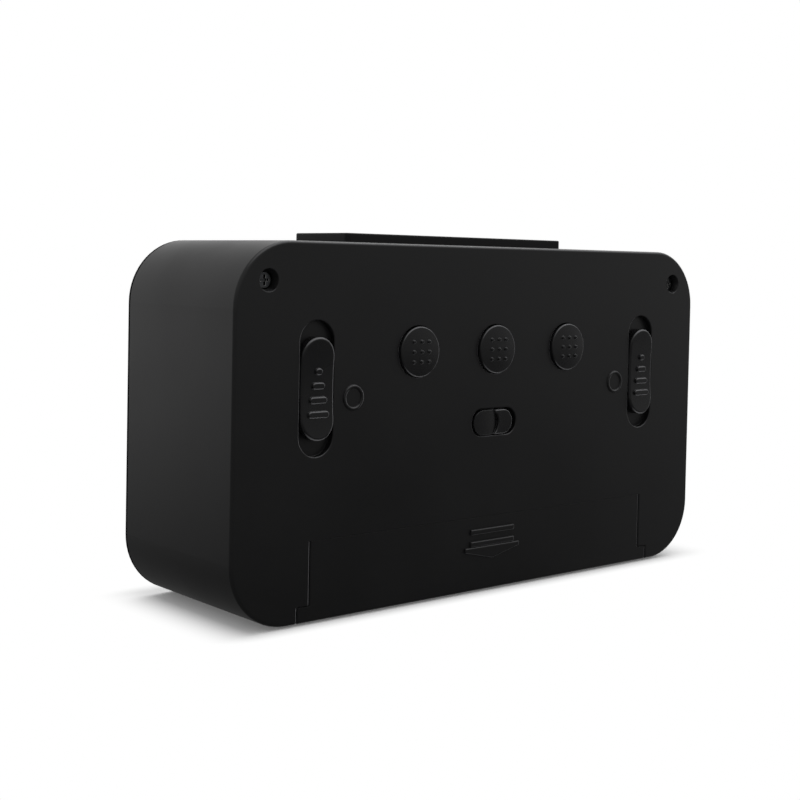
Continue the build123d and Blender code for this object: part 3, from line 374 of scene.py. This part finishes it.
def finish(look):
    # Two colours mixed by a soft cloud or by a pattern, roughness that drifts with the cloud, a
    # fine grain in relief, edges rounded by edgeMm and, where a pale rim colour is given, that
    # colour on the rims that the rim function picks, within its own bevel: painted highlight, and
    # on the screws also worn plating
    mat, tree = newTree(look["name"])
    place = addNode(tree, "ShaderNodeTexCoord").outputs["Object"]
    cloud, grain = (addNode(tree, "ShaderNodeTexNoise",
                            {"Vector": place, "Scale": perMetre(look[size]),
                             "Detail": skinBase[detail]}).outputs["Fac"]
                    for size, detail in (("cloudMm", "cloudDetail"), ("grainMm", "grainDetail")))
    blend = look["pattern"](tree, place) if "pattern" in look else cloud
    colour = addNode(tree, "ShaderNodeMix",
                     {"Factor": blend, "A": hexLinear(look["colour"]),
                      "B": hexLinear(look["tint"])}, data_type="RGBA").outputs["Result"]
    edge = addNode(tree, "ShaderNodeBevel", {"Radius": metres(look["edgeMm"])},
                   samples=skinBase["edgeSamples"]).outputs["Normal"]
    if "wearAndHighlightColour" in look:
        rim = addNode(tree, "ShaderNodeBevel", {"Radius": metres(look["wearAndHighlightMm"])},
                      samples=skinBase["edgeSamples"]).outputs["Normal"]
        wearAndHighlight = look["wearAndHighlightPick"](tree, rim)
        colour = addNode(tree, "ShaderNodeMix",
                         {"Factor": wearAndHighlight, "A": colour, "B": hexLinear(look["wearAndHighlightColour"])},
                         data_type="RGBA").outputs["Result"]
    rough = addNode(tree, "ShaderNodeMapRange",
                    {"Value": cloud,
                     "From Min": skinBase["cloudLow"], "From Max": skinBase["cloudHigh"],
                     "To Min": look["rough"] - look["roughSpread"],
                     "To Max": look["rough"] + look["roughSpread"]}).outputs["Result"]
    relief = addNode(tree, "ShaderNodeBump",
                     {"Height": grain, "Distance": metres(look["grainDeepMm"]),
                      "Normal": edge}).outputs["Normal"]
    skin = addNode(tree, "ShaderNodeBsdfPrincipled",
                   {"Base Color": colour, "Roughness": rough, "Normal": relief, **look["shader"]})
    addNode(tree, "ShaderNodeOutputMaterial", {"Surface": skin.outputs[0]})
    return mat


# Black ABS moulded in a fine spark-eroded tool: a dull satin skin, with painted highlights on the
# rims of its openings that face up, and -X near the middle.
# The real grain is near 0.15 mm and is drawn at 0.4 mm so that it shows
caseSkin = {"name": "sparkTexturedAbs", "colour": "#0a0a0b", "tint": "#0f0f10",
            "rough": 0.38, "roughSpread": 0.05, "cloudMm": 26.0,
            "grainMm": 0.4, "grainDeepMm": 0.008, "edgeMm": 0.08,
            # pale rim colour: painted highlight
            "wearAndHighlightPick": caseRimHighlight, "wearAndHighlightMm": 0.25, "wearAndHighlightColour": "#68686a",
            "shader": {"IOR": 1.53, "Specular IOR Level": 0.3}}
dress(finish(caseSkin), "rear_case")

# The door is moulded like the case, with painted highlights on its raised arrow's rims and on
# rims that face -X
doorSkin = {**caseSkin, "name": "doorAbsPaintedHighlight", "wearAndHighlightPick": doorRimHighlight}
dress(finish(doorSkin), "battery_door")

# Soft-touch lacquer on the front frame: flat deep black that hardly reflects
bezelSkin = {"name": "softTouchLacquer", "colour": "#060607", "tint": "#0a0a0b",
             "rough": 0.7, "roughSpread": 0.04, "cloudMm": 18.0,
             "grainMm": 0.5, "grainDeepMm": 0.004, "edgeMm": 0.1,
             "shader": {"IOR": 1.45, "Specular IOR Level": 0.1}}
dress(finish(bezelSkin), "front_bezel")

# The same ABS as the case in a finer tool: smoother, with painted highlights along its rims that
# face up, down or -X
keySkin = {"name": "smoothKeyAbsPaintedHighlight", "colour": "#0a0a0b", "tint": "#0f0f10",
           "rough": 0.27, "roughSpread": 0.05, "cloudMm": 7.0,
           "grainMm": 0.35, "grainDeepMm": 0.004, "edgeMm": 0.15,
           # pale rim colour: painted highlight
           "wearAndHighlightPick": keyRimHighlight, "wearAndHighlightMm": 0.15, "wearAndHighlightColour": "#666668",
           "shader": {"IOR": 1.53, "Specular IOR Level": 0.29}}
dress(finish(keySkin), "set_button_left", "set_button_middle", "set_button_right",
      "alarm_slider_left", "alarm_slider_right", "selector_slider")

# The long bar: the case's ABS from a duller tool, so a flat black with a weak, broad shine
snoozeSkin = {"name": "satinBarAbs", "colour": "#0d0d0e", "tint": "#131314",
              "rough": 0.48, "roughSpread": 0.06, "cloudMm": 15.0,
              "grainMm": 0.4, "grainDeepMm": 0.007, "edgeMm": 0.1,
              "shader": {"IOR": 1.53, "Specular IOR Level": 0.17}}
dress(finish(snoozeSkin), "snooze_bar")
print("case and keys dressed")

# Cast acrylic with a light smoke tint: clear, with faint smears in its polish
lensAcrylic = {"name": "smokedAcrylic", "colour": "#d6d8da", "tint": "#e0e2e4",
               "rough": 0.03, "roughSpread": 0.02, "cloudMm": 30.0,
               "grainMm": 6.0, "grainDeepMm": 0.0005, "edgeMm": 0.1,
               "shader": {"IOR": 1.49, "Transmission Weight": 1.0}}
dress(finish(lensAcrylic), "front_lens")

# Liquid crystal cell over a silvered film: grey-green with a speckle, near 0.1 mm, drawn at 0.6 mm
panelGlass = {"name": "reflectiveLcdGlass", "colour": "#8a9582", "tint": "#97a290",
              "rough": 0.2, "roughSpread": 0.03, "cloudMm": 0.6,
              "grainMm": 1.2, "grainDeepMm": 0.001, "edgeMm": 0.1, "shader": {"IOR": 1.52}}
dress(finish(panelGlass), "lcd_panel")

# Driven crystal: a flat blue-black; undriven crystal: just a breath darker than the glass
litCrystal = {"name": "drivenCrystal", "colour": "#171c1c", "tint": "#1f2523",
              "rough": 0.3, "roughSpread": 0.03, "cloudMm": 3.0,
              "grainMm": 1.0, "grainDeepMm": 0.0005, "edgeMm": 0.02, "shader": {"IOR": 1.52}}
clearCrystal = {"name": "undrivenCrystal", "colour": "#838e7b", "tint": "#8b9684",
                "rough": 0.2, "roughSpread": 0.03, "cloudMm": 0.6,
                "grainMm": 1.0, "grainDeepMm": 0.0005, "edgeMm": 0.02, "shader": {"IOR": 1.52}}

# Display: a large time, its seconds, and the two alarm times below, in millimetres from the panel's
# middle. gapShare is of half a stroke, dotShare of a stroke and dotRiseShares of a row's height
alarmRow = {"low": -20.0, "wide": 4.6, "tall": 8.6, "stroke": 1.1, "pitch": 6.4, "colon": 3.0}
display = {"slant": 0.1, "lift": 0.02, "thick": 0.03, "gapShare": 0.16,
           "dotShare": 0.65, "dotRiseShares": (0.28, 0.72),
           "rows": [{"text": "10:08", "left": -47.0, "low": -7.0, "wide": 13.5, "tall": 25.0,
                     "stroke": 3.0, "pitch": 18.2, "colon": 8.0},
                    {"text": "36", "left": 34.5, "low": -7.0, "wide": 6.2, "tall": 12.0,
                     "stroke": 1.5, "pitch": 8.6},
                    {**alarmRow, "text": "6:30", "left": -44.5},
                    {**alarmRow, "text": "7:15", "left": 4.5}]}
# Both ends of a digit's seven bars, in digit widths and half heights, and the bars of each figure
barEnds = np.array([[0, 2, 1, 2], [1, 1, 1, 2], [1, 0, 1, 1], [0, 0, 1, 0],
                    [0, 0, 0, 1], [0, 1, 0, 2], [0, 1, 1, 1]])
figureBars = {"0": "1111110", "1": "0110000", "2": "1101101", "3": "1111001", "4": "0110011",
              "5": "1011011", "6": "1011111", "7": "1110000", "8": "1111111", "9": "1111011"}


def barsOf(row, look):   # for a row of figures: bar ends in mm, strokes and whether each bar is lit
    ends, lit, x = [], [], row["left"]
    size = np.array([row["wide"], row["tall"] / 2, row["wide"], row["tall"] / 2])
    for mark in row["text"]:
        if mark == ":":
            dot = np.array([-1, 0, 1, 0]) * look["dotShare"] * row["stroke"]
            spot = x + row["colon"] / 2 - (row["pitch"] - row["wide"]) / 2
            rise = np.array(look["dotRiseShares"])[:, None] * row["tall"]
            ends.append(dot + np.hstack([np.full_like(rise, spot), rise] * 2))
            lit.append(np.ones(len(rise), bool))
            x += row["colon"]
        else:
            ends.append(barEnds * size + [x, 0, x, 0])
            lit.append(np.array([bar == "1" for bar in figureBars[mark]]))
            x += row["pitch"]
    ends = np.concatenate(ends)
    ends[:, [0, 2]] += look["slant"] * ends[:, [1, 3]]
    ends[:, [1, 3]] += row["low"]
    return ends, np.full(len(ends), row["stroke"]), np.concatenate(lit)


def barRings(ends, stroke, look):   # a bar is a long hexagon along its line, pointed at both ends
    start, end = ends[:, :2], ends[:, 2:]
    along = (end - start) / np.linalg.norm(end - start, axis=1)[:, None]
    left = np.stack([-along[:, 1], along[:, 0]], 1)
    half = stroke[:, None] / 2
    gap = along * half * look["gapShare"]
    start, end = start + gap, end - gap
    return np.stack([start, start + half * (along - left), end - half * (along + left), end,
                     end - half * (along - left), start + half * (along + left)], 1)


# A bell by each alarm time: a round crown that flares to a lip, with half a round clapper below.
# tall, low and middles are in millimetres, and the rest are shares of tall
bells = {"tall": 5.6, "low": -19.2, "middles": (-48.6, 0.4), "crown": 0.3, "flare": 0.18,
         "waist": 0.55, "lip": 0.2, "clapper": 0.13, "sideSteps": 17, "clapperSteps": 9}


def bellRings(look):
    # Half width by height: part of an ellipse above the waist, a parabola widening to the lip below
    rise = np.linspace(look["lip"], 1, look["sideSteps"])
    above = np.clip((rise - look["waist"]) / (1 - look["waist"]), 0, 1)
    below = np.clip((look["waist"] - rise) / (look["waist"] - look["lip"]), 0, 1)
    half = look["crown"] * np.sqrt(1 - above ** 2) + look["flare"] * below ** 2
    turn = np.radians(np.linspace(180, 360, look["clapperSteps"]))
    clapper = np.stack([np.cos(turn), np.sin(turn)], 1) * look["clapper"] + [0, look["lip"]]
    sides = np.concatenate([np.stack([half, rise], 1), np.stack([-half, rise], 1)[-2::-1]])
    outline = np.concatenate([sides, clapper]) * look["tall"]
    return outline + np.array([[[middle, look["low"]]] for middle in look["middles"]])


def makePrisms(name, rings, mat, look):   # flat outlines before the glass, carried back by a hair
    low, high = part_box("lcd_panel")
    middle = (low + high) / 2
    count, points = rings.shape[:2]
    verts = np.empty((count, 2, points, 3))
    verts[..., 0] = middle.x + metres(rings[:, None, :, 0])
    depth = low.y - metres(np.array([look["lift"] + look["thick"], look["lift"]]))
    verts[..., 1] = depth[None, :, None]
    verts[..., 2] = middle.z + metres(rings[:, None, :, 1])
    first = 2 * points * np.arange(count)[:, None]
    here, nextOne = np.arange(points), np.roll(np.arange(points), -1)
    sides = np.stack([here, here + points, nextOne + points, nextOne], 1)
    faces = (first + here).tolist() + (first + points + here[::-1]).tolist()
    faces += (first[:, None] + sides).reshape(-1, 4).tolist()
    piece = newPiece(name, verts.reshape(-1, 3).tolist(), faces, mat)
    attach(piece, "clock")


rowBars = [barsOf(row, display) for row in display["rows"]]
allEnds, allStrokes, allLit = (np.concatenate(part) for part in zip(*rowBars))
allBars = barRings(allEnds, allStrokes, display)
litMat = finish(litCrystal)
makePrisms("lcd_lit_bars", allBars[allLit], litMat, display)
makePrisms("lcd_clear_bars", allBars[~allLit], finish(clearCrystal), display)
makePrisms("lcd_bell_marks", bellRings(bells), litMat, display)
print("display drawn,", int(allLit.sum()), "bars lit of", len(allLit))

# White ABS frame behind the glass, bright so that it throws light back
holderAbs = {"name": "whiteHolderAbs", "colour": "#e3e3df", "tint": "#d9d8d2",
             "rough": 0.45, "roughSpread": 0.05, "cloudMm": 12.0,
             "grainMm": 0.5, "grainDeepMm": 0.005, "edgeMm": 0.15, "shader": {"IOR": 1.53}}
dress(finish(holderAbs), "lcd_holder")

# Acrylic light guide, printed with white dots, real ones near 0.4 mm and drawn at 0.9 mm
guideAcrylic = {"name": "dottedGuideAcrylic", "colour": "#dfe6e6", "tint": "#fbfbf8",
                "pattern": dots(repeatMm=1.8, radiusMm=0.45),
                "rough": 0.18, "roughSpread": 0.06, "cloudMm": 8.0,
                "grainMm": 0.8, "grainDeepMm": 0.002, "edgeMm": 0.1,
                "shader": {"IOR": 1.49, "Transmission Weight": 0.5}}
dress(finish(guideAcrylic), "light_guide")

# Lamp resin with yellow phosphor stirred into it: a creamy yellow, deeper in patches
lampResin = {"name": "phosphorResin", "colour": "#efe6b4", "tint": "#e3d27c",
             "rough": 0.25, "roughSpread": 0.05, "cloudMm": 1.5,
             "grainMm": 0.4, "grainDeepMm": 0.003, "edgeMm": 0.1, "shader": {"IOR": 1.5}}
dress(finish(lampResin), "backlight_leds")

# Silicone strip with carbon layers: fine dark bands, near 0.1 mm apart and drawn at 0.8 mm
zebraSilicone = {"name": "carbonLayerSilicone", "colour": "#b9b4c4", "tint": "#26252a",
                 "pattern": stripes("X", repeatMm=0.8, share=0.5),
                 "rough": 0.6, "roughSpread": 0.05, "cloudMm": 4.0,
                 "grainMm": 0.4, "grainDeepMm": 0.004, "edgeMm": 0.1, "shader": {"IOR": 1.41}}
dress(finish(zebraSilicone), "zebra_strip")

# Glass-epoxy board under green solder mask, with copper lines showing through as a lighter green
boardMask = {"name": "greenSolderMask", "colour": "#0f4a2b", "tint": "#1d6a3e",
             "pattern": tracks(repeatMm=1.6, share=0.45, patchMm=14.0),
             "rough": 0.32, "roughSpread": 0.06, "cloudMm": 9.0,
             "grainMm": 0.7, "grainDeepMm": 0.006, "edgeMm": 0.1, "shader": {"IOR": 1.55}}
dress(finish(boardMask), "main_board", "key_board", "snooze_board")

# Filled epoxy of chip and buzzer: charcoal with a powdery grain
chipEpoxy = {"name": "filledEpoxy", "colour": "#17171a", "tint": "#212124",
             "rough": 0.6, "roughSpread": 0.08, "cloudMm": 3.0,
             "grainMm": 0.4, "grainDeepMm": 0.012, "edgeMm": 0.15, "shader": {"IOR": 1.55}}
dress(finish(chipEpoxy), "clock_chip", "buzzer")

# Bright zinc on small steel parts: cool grey, slightly cloudy
zincSteel = {"name": "brightZincSteel", "colour": "#b9bcc0", "tint": "#a4a7ac",
             "rough": 0.3, "roughSpread": 0.1, "cloudMm": 1.6,
             "grainMm": 0.3, "grainDeepMm": 0.003, "edgeMm": 0.08, "shader": {"Metallic": 1.0}}
dress(finish(zincSteel), "quartz_crystal", "main_board_screws", "key_board_screws",
      "snooze_board_screws")

# Plated case screws: dark grey, with near-white sharp edges of worn plating and painted glint
screwSteel = {"name": "wornSteelPaintedGlint", "colour": "#5c5d5f", "tint": "#3e3f41",
              "rough": 0.34, "roughSpread": 0.1, "cloudMm": 0.9,
              "grainMm": 0.25, "grainDeepMm": 0.004, "edgeMm": 0.1,
              # pale edge colour: worn plating and a painted glint
              "wearAndHighlightPick": edgeWearAndGlint, "wearAndHighlightMm": 0.1, "wearAndHighlightColour": "#f4f4f2", "shader": {"Metallic": 1.0}}
dress(finish(screwSteel), "case_screws")

# Shrunk PVC sleeve: deep blue gloss with one pale side
sleevePvc = {"name": "shrunkBluePvc", "colour": "#c9cdd6", "tint": "#1a2448",
             "pattern": stripes("X", repeatMm=40.0, share=0.45, shiftMm=15.0),
             "rough": 0.3, "roughSpread": 0.06, "cloudMm": 5.0,
             "grainMm": 0.8, "grainDeepMm": 0.004, "edgeMm": 0.2, "shader": {"IOR": 1.53}}
dress(finish(sleevePvc), "smoothing_capacitor")

# Ivory nylon of the plug sockets: milky, with a soft sheen
socketNylon = {"name": "ivoryNylon", "colour": "#e6dfc9", "tint": "#d8d0b6",
               "rough": 0.45, "roughSpread": 0.06, "cloudMm": 3.0,
               "grainMm": 0.4, "grainDeepMm": 0.006, "edgeMm": 0.12, "shader": {"IOR": 1.53}}
dress(finish(socketNylon), "ribbon_sockets")

# Flat cable: pale film over tinned conductors 1 mm apart
ribbonFilm = {"name": "flatCableFilm", "colour": "#e2e4e6", "tint": "#a9adb2",
              "pattern": stripes("X", repeatMm=1.0, share=0.5),
              "rough": 0.35, "roughSpread": 0.05, "cloudMm": 4.0,
              "grainMm": 0.6, "grainDeepMm": 0.003, "edgeMm": 0.08, "shader": {"IOR": 1.6}}
dress(finish(ribbonFilm), "ribbon_cable")

# Glass-filled nylon of the switch bodies: black with a faint fibre haze
switchNylon = {"name": "glassFilledNylon", "colour": "#1b1b1c", "tint": "#2c2c2d",
               "rough": 0.5, "roughSpread": 0.08, "cloudMm": 0.8,
               "grainMm": 0.3, "grainDeepMm": 0.008, "edgeMm": 0.12, "shader": {"IOR": 1.53}}
dress(finish(switchNylon), "tact_switches", "snooze_switches", "slide_switches", "selector_switch")

# Acetal of plungers and levers: slick dark grey
plungerAcetal = {"name": "slickAcetal", "colour": "#3a3a3c", "tint": "#474749",
                 "rough": 0.32, "roughSpread": 0.05, "cloudMm": 1.5,
                 "grainMm": 0.4, "grainDeepMm": 0.003, "edgeMm": 0.1, "shader": {"IOR": 1.48}}
dress(finish(plungerAcetal), "tact_plunger_left", "tact_plunger_middle", "tact_plunger_right",
      "snooze_plungers", "slide_lever_left", "slide_lever_right", "selector_lever")

# Brass pins with a thin gold wash: warm yellow, a little uneven
pinBrass = {"name": "goldWashedBrass", "colour": "#d8b567", "tint": "#c49c4d",
            "rough": 0.28, "roughSpread": 0.06, "cloudMm": 1.2,
            "grainMm": 0.3, "grainDeepMm": 0.002, "edgeMm": 0.06, "shader": {"Metallic": 1.0}}
dress(finish(pinBrass), "link_pins")

# Lacquered wrap of the cells: plain slate grey with a paler end
cellWrap = {"name": "lacqueredCellWrap", "colour": "#4c5257", "tint": "#9aa0a4",
            "pattern": stripes("X", repeatMm=44.6, share=0.27, shiftMm=44.6),
            "rough": 0.28, "roughSpread": 0.06, "cloudMm": 10.0,
            "grainMm": 1.0, "grainDeepMm": 0.003, "edgeMm": 0.2,
            "shader": {"IOR": 1.5, "Metallic": 0.4}}
dress(finish(cellWrap), "battery_cell_left", "battery_cell_right")

# Nickel strip of the contacts: warm bright grey with rolling marks
nickelStrip = {"name": "rolledNickelStrip", "colour": "#c9c5bd", "tint": "#b2aea5",
               "pattern": stripes("Z", repeatMm=0.7, share=0.5),
               "rough": 0.26, "roughSpread": 0.08, "cloudMm": 3.0,
               "grainMm": 0.35, "grainDeepMm": 0.002, "edgeMm": 0.06,
               "shader": {"Metallic": 1.0}}
dress(finish(nickelStrip), "battery_plates", "battery_spring")

# Soft PVC of the two leads: an even colour with a waxy sheen
redPvc = {"name": "redWirePvc", "colour": "#a81d1b", "tint": "#8f1615",
          "rough": 0.4, "roughSpread": 0.05, "cloudMm": 3.0,
          "grainMm": 0.5, "grainDeepMm": 0.004, "edgeMm": 0.08, "shader": {"IOR": 1.53}}
blackPvc = {**redPvc, "name": "blackWirePvc", "colour": "#161617", "tint": "#1e1e20"}
dress(finish(redPvc), "battery_lead_red")
dress(finish(blackPvc), "battery_lead_black")

# Moulded rubber feet: dead matt with a chalky bloom
footRubber = {"name": "bloomedRubber", "colour": "#171718", "tint": "#252526",
              "rough": 0.85, "roughSpread": 0.06, "cloudMm": 2.5,
              "grainMm": 0.35, "grainDeepMm": 0.015, "edgeMm": 0.25, "shader": {"IOR": 1.52}}
dress(finish(footRubber), "rubber_feet")
print("inner pieces dressed")
